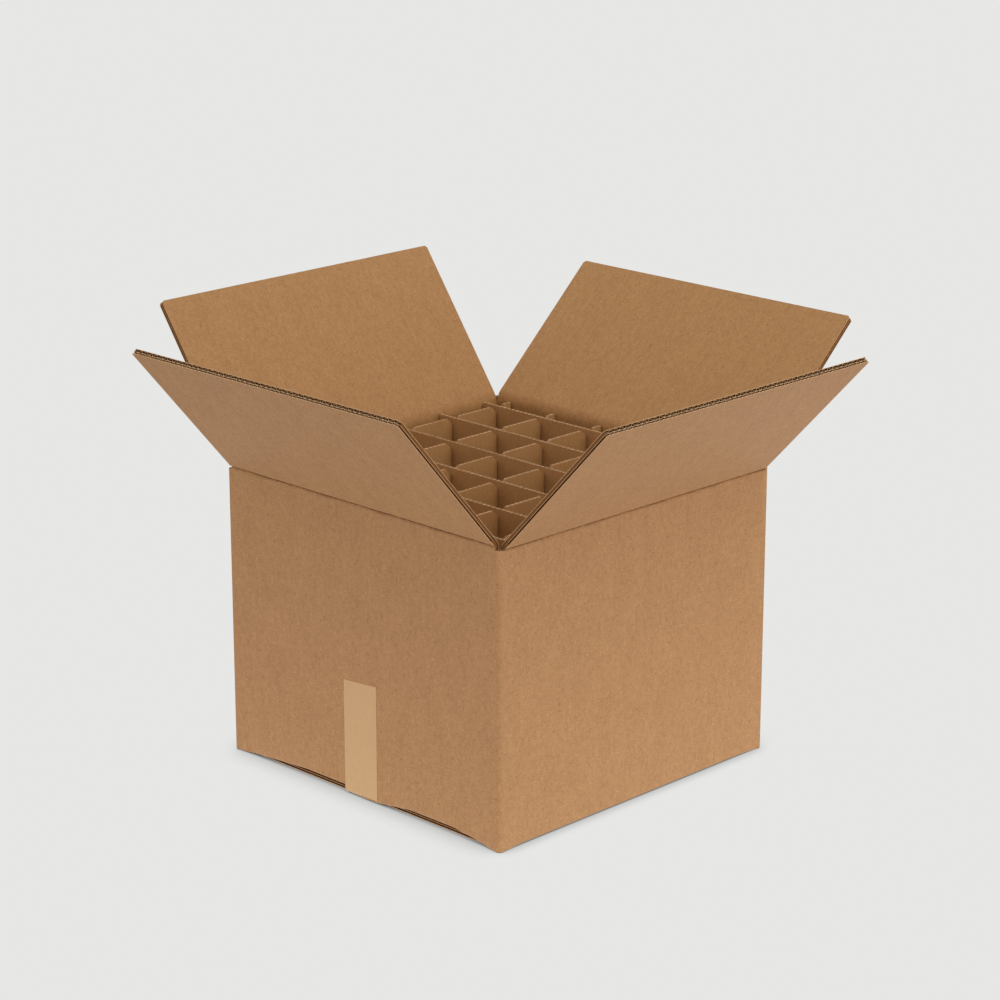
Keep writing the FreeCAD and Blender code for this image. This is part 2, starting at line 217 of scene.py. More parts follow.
away = place(tree, "ShaderNodeVectorMath", operation="LENGTH")
tree.links.new(where, away.inputs[0])
fade = spread(tree, away.outputs["Value"], *GLOW_FADE, interpolation_type="SMOOTHSTEP")
rightward = place(tree, "ShaderNodeVectorMath", operation="DOT_PRODUCT")
rightward.inputs[1].default_value = (1, 1, 0)
tree.links.new(where, rightward.inputs[0])
tilt = spread(tree, rightward.outputs["Value"], *GLOW_TILT)
bounce = pale_glow(tree, maths(tree, "MULTIPLY", fade, tilt))
split_rays(tree, bounce, seen, tree.nodes["Material Output"])

# %% [markdown]
# ## Paper texture as shader groups
# Kraft paper is brown wood fibre. From close by it shows short fibres, darker and lighter specks and a
# cloudy unevenness, and over corrugated board it also shows faint stripes where the wave underneath
# touches it. Every paper here shares these effects, so each is a node group, built once and placed in
# each material with its own values. The groups read a map called `blank`: places on the flat sheet
# before folding, in metres, so the pattern runs on across a crease and stays on the paper when a flap
# swings.

# %% Shader groups
# Each noise: its stretch along and across the sheet, its cells to the metre, detail and roughness.
CLOUDS = ((1.0, 0.45, 1.0), 48, 3.0, 0.62)
FLECKS = ((1.0, 0.75, 1.0), 175, 4.0, 0.75)
FINE_FIBRES = ((0.8, 1.0, 1.0), 620, 2.0, 0.7)
LIGHT_SPECKS, LIGHT_FROM_TO = ((0.7, 1.0, 1.0), 430, 1.0, 0.4), (0.67, 0.78)
DARK_SPECKS, DARK_FROM_TO = ((-0.6, 1.1, 1.0), 380, 1.0, 0.4), (0.69, 0.79)
STRIPE_WANDER, WANDER_SIZE = ((1.0, 0.2, 1.0), 25), 0.003
STRIPE_PATCHES, PATCHES_FROM_TO = ((1.0, 0.35, 1.0), 18), (0.35, 0.65, 0.3, 1.0)
# The ragged line of painted crease shade, and how far it reaches on either side of the crease, in
# metres.
CREASE_SHADE_RAGGED, RAGGED_FROM_TO = ((1.0, 1.0, 1.0), 240), (0.2, 0.8, 0.4, 1.4)
CREASE_SHADE_REACH = 0.0030


class Group:
    """A node group under construction, which reads the place on the sheet and some values."""

    def __init__(self, name, values, results):
        self.tree = bpy.data.node_groups.new(name, "ShaderNodeTree")
        sockets = self.tree.interface
        sockets.new_socket("Place", in_out="INPUT", socket_type="NodeSocketVector")
        for socket, value in values.items():
            made = sockets.new_socket(socket, in_out="INPUT", socket_type="NodeSocketFloat")
            made.default_value = value
        for socket in results:
            sockets.new_socket(socket, in_out="OUTPUT", socket_type="NodeSocketFloat")
        self.given = self.tree.nodes.new("NodeGroupInput").outputs
        self.end = self.tree.nodes.new("NodeGroupOutput")

    def maths(self, operation, *terms, clamp=False):
        """A maths node in this group."""
        return maths(self.tree, operation, *terms, clamp=clamp)

    def spread(self, value, *ranges):
        """A spread value in this group."""
        return spread(self.tree, value, *ranges)

    def along(self, axis):
        """The place along one axis of the sheet."""
        parts = place(self.tree, "ShaderNodeSeparateXYZ")
        self.tree.links.new(self.given["Place"], parts.inputs[0])
        return parts.outputs[axis]

    def noise(self, stretch, scale, detail=2.0, roughness=0.5):
        """Smooth noise over the sheet."""
        stretched = place(self.tree, "ShaderNodeMapping")
        stretched.inputs["Scale"].default_value = stretch
        self.tree.links.new(self.given["Place"], stretched.inputs["Vector"])
        node = place(self.tree, "ShaderNodeTexNoise", noise_dimensions="2D")
        node.inputs["Scale"].default_value = scale
        node.inputs["Detail"].default_value = detail
        node.inputs["Roughness"].default_value = roughness
        self.tree.links.new(stretched.outputs["Vector"], node.inputs["Vector"])
        return node.outputs[0]

    def give(self, **results):
        """Joins the results to the group's outputs."""
        for name, socket in results.items():
            self.tree.links.new(socket, self.end.inputs[name])
        return self.tree


def fibre_group():
    """Cloudiness, fibres and specks of kraft paper, as a shade around 0 and a height."""
    g = Group("kraft_fibres", {"Clouds": 0.05, "Fibres": 0.08, "Specks": 0.3}, ("Shade", "Height"))
    clouds = g.maths("MULTIPLY", g.maths("SUBTRACT", g.noise(*CLOUDS), 0.5), g.given["Clouds"])
    flecks = g.noise(*FLECKS)
    fine = g.noise(*FINE_FIBRES)
    fibres = g.maths("ADD", g.maths("SUBTRACT", flecks, 0.5), g.maths("SUBTRACT", fine, 0.5))
    fibres = g.maths("MULTIPLY", fibres, g.given["Fibres"])
    light = g.spread(g.noise(*LIGHT_SPECKS), *LIGHT_FROM_TO)
    dark = g.spread(g.noise(*DARK_SPECKS), *DARK_FROM_TO)
    specks = g.maths("MULTIPLY", g.maths("SUBTRACT", light, dark), g.given["Specks"])
    shade = g.maths("ADD", g.maths("ADD", clouds, fibres), specks)
    height = g.maths("ADD", flecks, g.maths("MULTIPLY", fine, 0.5))
    return g.give(Shade=shade, Height=height)


def washboard_group():
    """Stripes across the flutes, where the liner is glued to each wave. On the strips' upper edges they
    are strong: painted light and shade dashes at the wave's pitch.
    """
    g = Group("washboard", {"Pitch": 0.0065, "Strength": 0.02}, ("Shade", "Height"))
    wander = g.maths("MULTIPLY", g.noise(*STRIPE_WANDER), WANDER_SIZE)
    turns = g.maths("DIVIDE", g.maths("ADD", g.along("X"), wander), g.given["Pitch"])
    wave = g.maths("COSINE", g.maths("MULTIPLY", turns, 2 * math.pi))
    wave = g.maths("MULTIPLY", wave, g.spread(g.noise(*STRIPE_PATCHES), *PATCHES_FROM_TO))
    return g.give(Shade=g.maths("MULTIPLY", wave, g.given["Strength"]), Height=wave)


def crease_shade_group():
    """How near a place is to the crease at height zero, 1 on it and 0 away from it: the mask of the
    painted crease shade.
    """
    g = Group("fold_line", {"Reach": CREASE_SHADE_REACH}, ("Near",))
    ragged = g.spread(g.noise(*CREASE_SHADE_RAGGED), *RAGGED_FROM_TO)
    ragged = g.maths("MULTIPLY", ragged, g.given["Reach"])
    apart = g.maths("DIVIDE", g.maths("ABSOLUTE", g.along("Y")), ragged)
    return g.give(Near=g.maths("SUBTRACT", 1.0, apart, clamp=True))


FIBRES, WASHBOARD, CREASE_SHADE = fibre_group(), washboard_group(), crease_shade_group()
print("shader groups:", [g.name for g in bpy.data.node_groups])

# %% [markdown]
# ## Paper finishes
# The same board shows several papers. The outside liner is the lighter brown, the inside liner a darker
# one, and the wavy medium is darker and duller still. Where the hollows between the waves show, a dark
# brown sheet stands in them as painted shade. Cut edges and the tape are the palest. Each finish is one
# Principled shader: the groups only change its colour and its bump. A painted texture could do it too,
# but nodes stay sharp at any distance.

# %% Finishes
HUE_SWING = (0.85, 1.05, 1.3)
STRIPE_BUMP = 0.15
BUMP_DEPTH = 0.12 * MM
WIDE_PITCH, FINE_PITCH, STRIP_PITCH = 7.75 * MM, 6.25 * MM, 6.4 * MM


def paper(
    name, colour, grain, stripes=0.0, pitch=FINE_PITCH, crease=None, shift=0.0,
    bump=0.35, roughness=0.66, gloss=0.42,
):
    """A paper finish. Its grain is how strong the clouds, the fibres and the specks are. Its crease
    colour is painted shade along the crease line, on paper that the crushing darkens a little.
    """
    finish = bpy.data.materials.new(name)
    finish.use_nodes = True
    tree = finish.node_tree
    shader = tree.nodes["Principled BSDF"]
    blank = place(tree, "ShaderNodeUVMap", uv_map="blank")
    move = place(tree, "ShaderNodeMapping")
    move.inputs["Location"].default_value = (shift, 0, 0)
    tree.links.new(blank.outputs["UV"], move.inputs["Vector"])

    def group(kind, **values):
        node = place(tree, "ShaderNodeGroup", node_tree=kind)
        tree.links.new(move.outputs["Vector"], node.inputs["Place"])
        for socket, value in values.items():
            node.inputs[socket].default_value = value
        return node.outputs

    clouds, fibres, specks = grain
    fuzz = group(FIBRES, Clouds=clouds, Fibres=fibres, Specks=specks)
    ribs = group(WASHBOARD, Pitch=pitch, Strength=stripes)
    swing = place(tree, "ShaderNodeVectorMath", operation="SCALE")
    swing.inputs[0].default_value = [level * gain for level, gain in zip(linear(*colour), HUE_SWING)]
    tree.links.new(maths(tree, "ADD", fuzz["Shade"], ribs["Shade"]), swing.inputs["Scale"])
    tint = place(tree, "ShaderNodeVectorMath", operation="ADD")
    tint.inputs[1].default_value = linear(*colour)
    tree.links.new(swing.outputs[0], tint.inputs[0])
    result = tint.outputs[0]
    # The crease colour is painted shade, mixed in along the crease line on paper that crushing darkens a
    # little.
    if crease:
        mix = place(tree, "ShaderNodeMix", data_type="RGBA")
        mix.inputs["B"].default_value = (*linear(*crease), 1)
        tree.links.new(group(CREASE_SHADE)["Near"], mix.inputs["Factor"])
        tree.links.new(result, mix.inputs["A"])
        result = mix.outputs["Result"]
    tree.links.new(result, shader.inputs["Base Color"])
    rough = place(tree, "ShaderNodeBump")
    rough.inputs["Strength"].default_value = bump
    rough.inputs["Distance"].default_value = BUMP_DEPTH
    height = maths(tree, "MULTIPLY_ADD", ribs["Height"], STRIPE_BUMP, fuzz["Height"])
    tree.links.new(height, rough.inputs["Height"])
    tree.links.new(rough.outputs["Normal"], shader.inputs["Normal"])
    shader.inputs["Roughness"].default_value = roughness
    shader.inputs["Specular IOR Level"].default_value = gloss
    return finish


LINER_GRAIN, DULL_GRAIN = (0.20, 0.50, 0.22), (0.10, 0.20, 0.1)
# The outside liner's crease colour: painted shade of the tucked crease groove, on crushed paper.
OUTSIDE = paper("kraft_outside", (178, 130, 84), LINER_GRAIN, 0.008, crease=(92, 52, 18))
INSIDE = paper("kraft_inside", (167, 121, 71), LINER_GRAIN, 0.008, WIDE_PITCH, shift=5.0)
MEDIUM = paper("flute_medium", (136, 91, 52), DULL_GRAIN, shift=9.0, gloss=0.12)
EDGE = paper("cut_edge", (214, 172, 126), (0.15, 0.6, 0.15), shift=3.0)
# A dark brown sheet put where the flute hollows lie in shade: painted shade, not a paper.
HOLLOW_SHADE = paper("flute_shade", (74, 44, 20), DULL_GRAIN, shift=21.0, gloss=0.0)
DIVIDER = paper("divider_kraft", (176, 130, 80), (0.14, 0.30, 0.12), 0.02, STRIP_PITCH, shift=13.0)
# Its strong stripes at the wave's pitch are painted light and painted shade: light dashes for the lit
# wave, shade for the gaps between.
STRIP_EDGE = paper("divider_edge", (196, 155, 110), (0.30, 0.8, 0.15), 0.62, STRIP_PITCH, shift=13.0)
TAPE = paper("tape_kraft", (207, 164, 117), (0.05, 0.12, 0.05), shift=17.0, bump=0.2, roughness=0.62)
FINISHES = [OUTSIDE, INSIDE, MEDIUM, EDGE, HOLLOW_SHADE, DIVIDER, STRIP_EDGE, TAPE]
print("finishes:", [f.name for f in FINISHES])

# %% [markdown]
# ## A sheet of paper as a mesh
# Every piece of the box is made of sheets with a front, a back and thin edges all round. One helper
# turns two grids of points, the front and the back, into such a closed sheet. Solidify would do it for
# flat sheets, but the grids also make tapered, bent and wavy ones, and they carry the place on the blank
# along with each corner.

# %% Sheet helper
EDGE_ON_BLANK = 0.5 * MM


class Sheets:
    """The paper sheets of one piece."""

    def __init__(self):
        self.points, self.corners, self.maps, self.finishes = [], [], [], []
        self.count = 0

    def slab(self, front, back, blank, finish, back_finish=None, edge_finish=None, ring=False):
        """A closed sheet between two grids of points. A ring has its last column joined to its first."""
        front, back = np.asarray(front, float), np.asarray(back, float)
        rows, cols = front.shape[:2]
        across = np.arange(cols if ring else cols - 1)
        row, col = np.meshgrid(np.arange(rows - 1), across, indexing="ij")
        steps = [(0, 0), (0, 1), (1, 1), (1, 0)]
        face = np.stack([(row + r) * cols + (col + c) % cols for r, c in steps], -1).reshape(-1, 4)
        where = np.stack([blank[row + r, col + c] for r, c in steps], -2).reshape(-1, 4, 2)
        self.add(face, where, finish)
        self.add(face[:, ::-1] + rows * cols, where[:, ::-1], back_finish or finish)
        runs = [np.stack([np.full(cols, r), np.arange(cols)], -1) for r in (0, rows - 1)]
        if ring:
            runs = [np.concatenate([run, [[run[0, 0], cols]]]) for run in runs]
        else:
            runs += [np.stack([np.arange(rows), np.full(rows, c)], -1) for c in (0, cols - 1)]
        for run in runs:
            at = run[:, 0] * cols + run[:, 1] % cols
            spot = blank[run[:, 0], run[:, 1]]
            edge = np.stack([at[:-1], at[1:], at[1:] + rows * cols, at[:-1] + rows * cols], -1)
            over = spot + EDGE_ON_BLANK
            around = np.stack([spot[:-1], spot[1:], over[1:], over[:-1]], -2)
            self.add(edge, around, edge_finish or finish)
        self.points.append(np.concatenate([front.reshape(-1, 3), back.reshape(-1, 3)]))
        self.count += 2 * rows * cols

    def add(self, faces, where, finish):
        """Four-cornered faces that point into the sheet now being made."""
        self.corners.append(np.asarray(faces) + self.count)
        self.maps.append(where)
        self.finishes.append(np.full(len(faces), FINISHES.index(finish)))

    def build(self, name, body, replaces=(), smooth=40, between=None):
        """The piece itself, riding on its body; a piece that lies between two bodies is not attached to
        either.
        """
        mesh = bpy.data.meshes.new(name)
        faces = np.concatenate(self.corners)
        mesh.from_pydata(np.concatenate(self.points).tolist(), [], faces.tolist())
        used = np.concatenate(self.finishes)
        kinds = sorted(set(used.tolist()))
        for kind in kinds:
            mesh.materials.append(FINISHES[kind])
        which = np.searchsorted(kinds, used).astype(np.int32)
        mesh.polygons.foreach_set("material_index", which)
        layer = mesh.uv_layers.new(name="blank")
        layer.uv.foreach_set("vector", np.concatenate(self.maps).astype(np.float32).ravel())
        piece = bpy.data.objects.new(name, mesh)
        scene.collection.objects.link(piece)
        bpy.context.view_layer.objects.active = piece
        bpy.ops.object.mode_set(mode="EDIT")
        bpy.ops.mesh.select_all(action="SELECT")
        bpy.ops.mesh.normals_make_consistent(inside=False)
        bpy.ops.object.mode_set(mode="OBJECT")
        mesh.shade_smooth()
        mesh.set_sharp_from_angle(angle=math.radians(smooth))
        if between:
            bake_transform(piece)
        else:
            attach(piece, body)
        if replaces:
            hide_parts(*replaces)
        print("%-20s %6d faces" % (name, len(faces)))


def grid(rows, cols, place_of):
    """A grid of points or map places from a function of a row value and a column value."""
    return np.array([[place_of(r, c) for c in cols] for r in rows], float)


def soft_step(x):
    """0 below 0, 1 above 1 and smooth in between."""
    x = np.clip(x, 0, 1)
    return x * x * (3 - 2 * x)


def ramp(x, start, end):
    """0 up to the start, 1 from the end on and straight in between."""
    return min(1.0, max(0.0, (x - start) / (end - start)))


def wander(x, seed, waves=((83, 1.0), (41, 0.6), (23, 0.4), (11, 0.2))):
    """A gentle wandering line of waves, each a length and a size. The same for the same seed."""
    draw = np.random.default_rng(seed)
    return sum(size * math.sin(2 * math.pi * (x / length + draw.random())) for length, size in waves)


# %% [markdown]
# ## Where the walls and creases are
# The joints of the CAD model lie exactly on the four creases, so their places are read from the frame,
# and so are the leans of the flaps. Only the front and back creases are drawn a little lower, as they
# are in the photo. Seen from outside, the walls follow each other round the box: front, right, back,
# left. Each wall gets a frame of its own: along the crease, inwards through the board, and up. One
# description of a wall, crease or flap in that frame then serves all four sides.

# %% Sides of the box
SIDES = ["front", "right", "back", "left"]
HALF_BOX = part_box("box_shell")[1].x / MM
BOARD = 6.0
CREASE = {j["child"].replace("_flap_body", ""): j for j in frame["joints"]}
DROP = {"front": 3.0, "right": 0.0, "back": 3.0, "left": 0.0}
# A flap: half its width, its faces measured inwards from the crease, and its length.
FLAP_HALF = 193.4
OUTER, MIDDLE, INNER = -5.4, -3.0, 0.6
REACH = 194.0
UP = np.array([0, 0, 1.0])


class Side:
    """One side of the box: its crease, its directions and its part of the blank."""

    def __init__(self, name):
        self.name = name
        turn = math.radians(90 * SIDES.index(name))
        self.across = np.array([math.cos(turn), math.sin(turn), 0])
        self.inward = np.array([-math.sin(turn), math.cos(turn), 0])
        self.pivot = np.array(CREASE[name]["pos_m"]) / MM - [0, 0, DROP[name]]
        self.height = self.pivot[2]
        self.lean = math.radians(-CREASE[name]["range_deg"][0] - 90)
        self.along_blank = (2 * SIDES.index(name) + 1) * HALF_BOX

    def wall(self, a, t, s):
        """A place on the wall, in metres: along the crease, through the board, above the crease."""
        return (self.pivot + self.across * a + self.inward * t + UP * s) * MM

    def flap(self, a, t, s):
        """The same for the flap, leaned outwards about the crease."""
        c, n = math.cos(self.lean), math.sin(self.lean)
        return self.wall(a, t * c - s * n, t * n + s * c)

    def blank(self, a, s):
        """The same place on the flat blank."""
        return ((self.along_blank + a) * MM, s * MM)


SIDE = {name: Side(name) for name in SIDES}
print("crease heights:", {name: round(side.height, 1) for name, side in SIDE.items()})

# %% [markdown]
# ## Top flaps
# A flap is two flutes thick: three flat liners with a tall wide wave inside and a low fine wave outside.
# The cut end shows both rows of dark holes, and the side edges, cut along the flutes, show light paper
# with dark slots between. Building the real layers gives both for free, where a striped texture would
# look flat from close by. Only just inside each side edge the low fine wave is closed by a dark brown
# sheet, painted shade of its hollows.

# %% Top flaps
BEND = 9.0
LINER, LINER_COLUMNS, LINER_ROWS = 0.35, 61, 9
CORNER_CUT = 2.5
KNIFE_CUT, KNIFE_WAVES = 0.08, ((9, 1.0), (3.7, 0.8))
MIDDLE_INSET = 0.3
# The waves: their paper, how far they stay from the edges, and how crushed and flat their crests are.
WAVE_PAPER = 0.3
WAVE_MARGIN, WAVE_START, WAVE_BACK = 1.6, 12.0, 0.35
WAVE_STEPS, WAVE_CRUSH, WAVE_FLAT, WAVE_STRETCH = 12, 0.22, 1.15, 1.3
FILL_FROM, FILL_TO = 1.5, 1.1


def edge_line(a, seed):
    """How far the free edge is from the crease: trimmed corners and a slightly rough knife cut."""
    trim = max(0.0, CORNER_CUT - (FLAP_HALF - abs(a)))
    return REACH - trim - KNIFE_CUT * abs(wander(a, seed, KNIFE_WAVES))


def liner(sheets, side, low, finish, seed, inset=0.0):
    """One flat liner of a flap."""
    cols = np.linspace(-FLAP_HALF + inset, FLAP_HALF - inset, LINER_COLUMNS)
    cols = np.sort(np.append(cols, [-FLAP_HALF + CORNER_CUT, FLAP_HALF - CORNER_CUT]))
    rows = np.linspace(0, 1, LINER_ROWS)
    ends = {a: edge_line(a, seed) - inset for a in cols}

    def at(t):
        return grid(rows, cols, lambda r, a: side.flap(a, t, BEND + r * (ends[a] - BEND)))

    blank = grid(rows, cols, lambda r, a: side.blank(a, BEND + r * (ends[a] - BEND)))
    sheets.slab(at(low), at(low + LINER), blank, finish, None, EDGE)


def wave(sheets, side, low, high, pitch, seed):
    """One wavy sheet between two liners of a flap, each of its waves crushed a little differently."""
    draw = np.random.default_rng(seed)
    length = 2 * (FLAP_HALF - WAVE_MARGIN)
    steps = int(length / pitch * WAVE_STEPS)
    cols = np.linspace(-FLAP_HALF + WAVE_MARGIN, FLAP_HALF - WAVE_MARGIN, steps)
    crush = 1 - WAVE_CRUSH * draw.random(int(length / pitch) + 3)
    middle, swing = (low + high) / 2, (high - low - WAVE_PAPER) / 2
    phase = draw.random()

    def offset(a):
        turn = (a + FLAP_HALF) / pitch + phase
        crest = np.clip(WAVE_FLAT * math.cos(2 * math.pi * turn), -1, 1)
        return middle + swing * crest * crush[int(turn)]

    def end_at(free, a):
        return edge_line(a, seed) - WAVE_BACK if free else WAVE_START

    def at(sign):
        half = sign * WAVE_PAPER / 2
        return grid((0, 1), cols, lambda free, a: side.flap(a, offset(a) + half, end_at(free, a)))

    def flat(free, a):
        return side.blank(a * WAVE_STRETCH, REACH if free else WAVE_START)

    sheets.slab(at(-1), at(1), grid((0, 1), cols, flat), MEDIUM, None, EDGE)


def side_fill(sheets, side, low, high, finish):
    """The flank of the outermost wave, which closes a layer just inside the flap's side edge."""
    for end in (-1, 1):
        cols = [end * (FLAP_HALF - FILL_FROM), end * (FLAP_HALF - FILL_TO)]
        rows = [BEND + 1, REACH - CORNER_CUT - 1]

        def at(t):
            return grid(rows, cols, lambda s, a: side.flap(a, t, s))

        sheets.slab(at(low), at(high), grid(rows, cols, lambda s, a: side.blank(a, s)), finish)


for index, side in enumerate(SIDE.values()):
    sheets = Sheets()
    side_fill(sheets, side, MIDDLE + LINER, INNER - LINER, MEDIUM)
    # Behind the side edges the fine flutes are closed by a dark brown sheet: painted shade of their
    # hollows.
    side_fill(sheets, side, OUTER + LINER, MIDDLE, HOLLOW_SHADE)
    liner(sheets, side, OUTER, OUTSIDE, 10 + index)
    liner(sheets, side, MIDDLE, MEDIUM, 20 + index, inset=MIDDLE_INSET)
    liner(sheets, side, INNER - LINER, INSIDE, 30 + index)
    wave(sheets, side, OUTER + LINER, MIDDLE, FINE_PITCH / MM, 40 + index)
    wave(sheets, side, MIDDLE + LINER, INNER - LINER, WIDE_PITCH / MM, 50 + index)
    sheets.build(side.name + "_flap_board", side.name + "_flap_body", replaces=[side.name + "_flap"])

# %% [markdown]
# ## Creases
# At a crease the board is crushed, so it folds there and nowhere else. With the flap leaned out, the
# outside liner tucks into a thin, slightly wandering dark line, and the inside liner runs over it in a
# soft round roll. The line is darker still by painted shade, laid along it on paper that the crushing
# darkens a little. Each crease is a narrow piece of its own between the box and its flap, not attached
# to either.

# %% Creases
# The outside liner from the wall to the pinched fold: how far through the board, and above the crease.
OUT_WALL = [
    (OUTER, -BEND), (OUTER, -7.4), (-5.45, -6.0), (-5.5, -4.8), (OUTER, -4.0), (-4.95, -3.2),
]
PINCH_OUT = 3.6
ROLL = 7.4
OUTER_WANDER, INNER_WANDER = 0.3, 0.2
CREASE_COLUMNS = 130
BLEND_HALF = 5.0
# Each layer of the crease: from and to, as shares of the board, how far it stays in, and its papers.
CREASE_LAYERS = [
    (0.0, 0.07, 0.0, (OUTSIDE, MEDIUM, EDGE)),
    (0.93, 1.0, 0.0, (MEDIUM, INSIDE, EDGE)),
    (0.08, 0.92, 1.2, (MEDIUM,)),
]


def roll(side):
    """Half of the soft roll on the inside of a crease, and how far it ends from the fold, outwards."""
    half = side.lean / 2
    radius = ROLL / math.tan(half)
    turns = np.linspace(0, half, len(OUT_WALL))[:-1]
    arc = [(INNER - radius * (1 - math.cos(turn)), radius * math.sin(turn) - ROLL) for turn in turns]
    return [(INNER, -BEND)] + arc, radius * (1 / math.cos(half) - 1) - INNER / math.cos(half)


def section(wall_half, pinch, side, shift):
    """A curve across the crease, mirrored about the fold. It moves with the wandering crease line."""
    c, n = math.cos(side.lean / 2), math.sin(side.lean / 2)
    c2, n2 = math.cos(side.lean), math.sin(side.lean)
    fade = np.linspace(0, 1, len(wall_half) + 1)[:-1]
    low = [(t, s + shift * f) for (t, s), f in zip(wall_half, fade)]
    tip = [(-pinch * c, -pinch * n + shift)]
    high = [(t, -s + shift * f) for (t, s), f in zip(wall_half, fade)][::-1]
    return low + tip + [(t * c2 - s * n2, t * n2 + s * c2) for t, s in high]


def crease(side, seed):
    """The crushed board between a wall and its flap: both liners and the rest between them."""
    cols = np.linspace(-FLAP_HALF, FLAP_HALF, CREASE_COLUMNS)
    soft = roll(side)
    outer = {a: section(OUT_WALL, PINCH_OUT, side, OUTER_WANDER * wander(a, seed)) for a in cols}
    inner = {a: section(*soft, side, INNER_WANDER * wander(a, seed + 1)) for a in cols}
    rise = [s for t, s in OUT_WALL] + [0.0] + [-s for t, s in OUT_WALL][::-1]
    rows = range(len(rise))

    def between(share, inset):
        def point(k, a):
            (t0, s0), (t1, s1) = outer[a][k], inner[a][k]
            held = max(-FLAP_HALF + inset, min(FLAP_HALF - inset, a))
            return side.wall(held, t0 + (t1 - t0) * share, s0 + (s1 - s0) * share)

        return grid(rows, cols, point)

    sheets = Sheets()
    blank = grid(rows, cols, lambda k, a: side.blank(a, rise[k]))
    for low, high, inset, papers in CREASE_LAYERS:
        sheets.slab(between(low, inset), between(high, inset), blank, *papers)
    start = side.wall(0, 0, -BLEND_HALF)
    end = side.flap(0, 0, BLEND_HALF)
    sheets.build(
        side.name + "_crease", "box", between=(side.name + "_flap_body", tuple(start), tuple(end)),
    )


for index, side in enumerate(SIDE.values()):
    crease(side, 60 + 3 * index)

# %% [markdown]
# ## Walls
# The four walls are one sheet that goes round, with softly rounded corners where it is scored. The walls
# stop just under the creases, and the corners between them stand up as narrow posts. Their lower ends
# are drawn with the bottom flaps, because there the board folds under.

# %% Walls
CORNER = 5.0
# The slit beside a flap, the top of the post after each wall, and where posts and walls end below.
SLIT = 0.05
POST_TOPS = {"front": 312.6, "right": 313.0, "back": 315.6, "left": 313.0}
POST_FOOT = 0.4
FOLD_RADIUS = 4.5
FOLD_AT = {"front": 6.2, "back": 6.2, "left": 0.0, "right": 0.0}
AROUND_CORNER = 0.9
WALL_COLUMNS, WALL_ROWS, CORNER_STEPS = 41, 13, 7


def round_wall(side):
    """Stations along one wall and its corner: outside and inside place, blank, top and foot."""
    reach = HALF_BOX - CORNER
    inside = HALF_BOX - BOARD
    before = POST_TOPS[SIDES[SIDES.index(side.name) - 1]]
    after = POST_TOPS[side.name]
    wall_cols = list(np.linspace(-FLAP_HALF, FLAP_HALF, WALL_COLUMNS))
    for a in [-reach, -FLAP_HALF - SLIT] + wall_cols + [FLAP_HALF + SLIT]:
        within = abs(a) <= FLAP_HALF
        post = before if a < 0 else after
        top = side.height - BEND if within else post
        foot = FOLD_AT[side.name] + FOLD_RADIUS if within else POST_FOOT
        yield (a, HALF_BOX), (max(-inside, min(inside, a)), inside), a, top, foot
    for turn in np.linspace(0, math.pi / 2, CORNER_STEPS)[:-1]:
        out = (reach + CORNER * math.sin(turn), reach + CORNER * math.cos(turn))
        yield out, (inside, inside), reach + CORNER * turn * AROUND_CORNER, after, POST_FOOT


stations = []
for side in SIDE.values():
    for (oa, ot), (ia, it), u, top, foot in round_wall(side):
        outside = side.across * oa - side.inward * ot
        inside = side.across * ia - side.inward * it
        stations.append((outside, inside, side, u, top, foot))
levels = np.linspace(0, 1, WALL_ROWS)


def wall_face(which):
    """One face of the walls, 0 for the outside and 1 for the inside."""

    def at(r, k):
        top, foot = stations[k][4:]
        return (stations[k][which] + UP * (foot + r * (top - foot))) * MM

    return grid(levels, range(len(stations)), at)


def wall_blank(r, k):
    """A place of the walls on the blank, which is not joined where the ring closes."""
    outside, inside, side, u, top, foot = stations[k % len(stations)]
    extra = 8 * HALF_BOX * MM if k >= len(stations) else 0
    flat = side.blank(u, foot + r * (top - foot) - side.height)
    return (flat[0] + extra, flat[1])


walls = Sheets()
blank = grid(levels, range(len(stations) + 1), wall_blank)
walls.slab(wall_face(0), wall_face(1), blank, OUTSIDE, INSIDE, MEDIUM, ring=True)

# %% [markdown]
# ## Bottom flaps
# The front and back flaps fold in first, and the side flaps under them. So the front wall ends one board
# above the floor, and the cut edge of the side flaps shows under it as thin light and dark lines.
# Between their liners a dark brown core, set back from the cut, stands in as painted shade of the
# flute hollows.
# Towards the corners the fold sags to the floor.

# %% Bottom flaps
FOLD_ARC = [math.radians(d) for d in (0, 22.5, 45, 67.5, 90)]
SQUARE_FROM, SQUARE_OVER, SQUARE_SHARE = 168, 24, 0.8
SEAM_GAP = 0.6
# Small steps that keep the points past the fold apart, and where they lie on the blank.
LOWER_STEP, UPPER_STEP, HAIR = 0.2, 0.3, 0.01
ARC_ON_BLANK, PAST_ON_BLANK = 1.7, (3, 4, 200)
# Each layer of an outer flap: from and to, as shares of the board, how far it stays in, and its papers.
BOTTOM_LAYERS = [
    (0.0, 0.08, 0.0, (OUTSIDE, MEDIUM)),
    (0.4, 0.46, 0.5, (MEDIUM, MEDIUM)),
    (0.93, 1.0, 0.3, (MEDIUM, INSIDE)),
    # The core, set back from the cut edge, is a dark brown sheet: painted shade of the flute hollows.
    (0.1, 0.92, 4.0, (HOLLOW_SHADE, HOLLOW_SHADE)),
]


# On the left the fold sags more and more from here to there. On the right it hangs but for a wedge.
SAG_LEFT, SAG_LEFT_MORE, LEFT_SPAN = -1.0, 7.0, (-88, -186)
SAG_RIGHT, WEDGE, WEDGE_RISE, WEDGE_FALL = 6.0, 6.6, (20, 70), (189, 134)


def sag(a, name):
    """How far the fold of the front or back wall hangs down, near the corners and beside the tape."""
    if name in ("left", "right"):
        return 0.0
    if a < 0:
        return SAG_LEFT + SAG_LEFT_MORE * ramp(a, *LEFT_SPAN)
    return SAG_RIGHT - WEDGE * (ramp(a, *WEDGE_RISE) * ramp(a, *WEDGE_FALL))


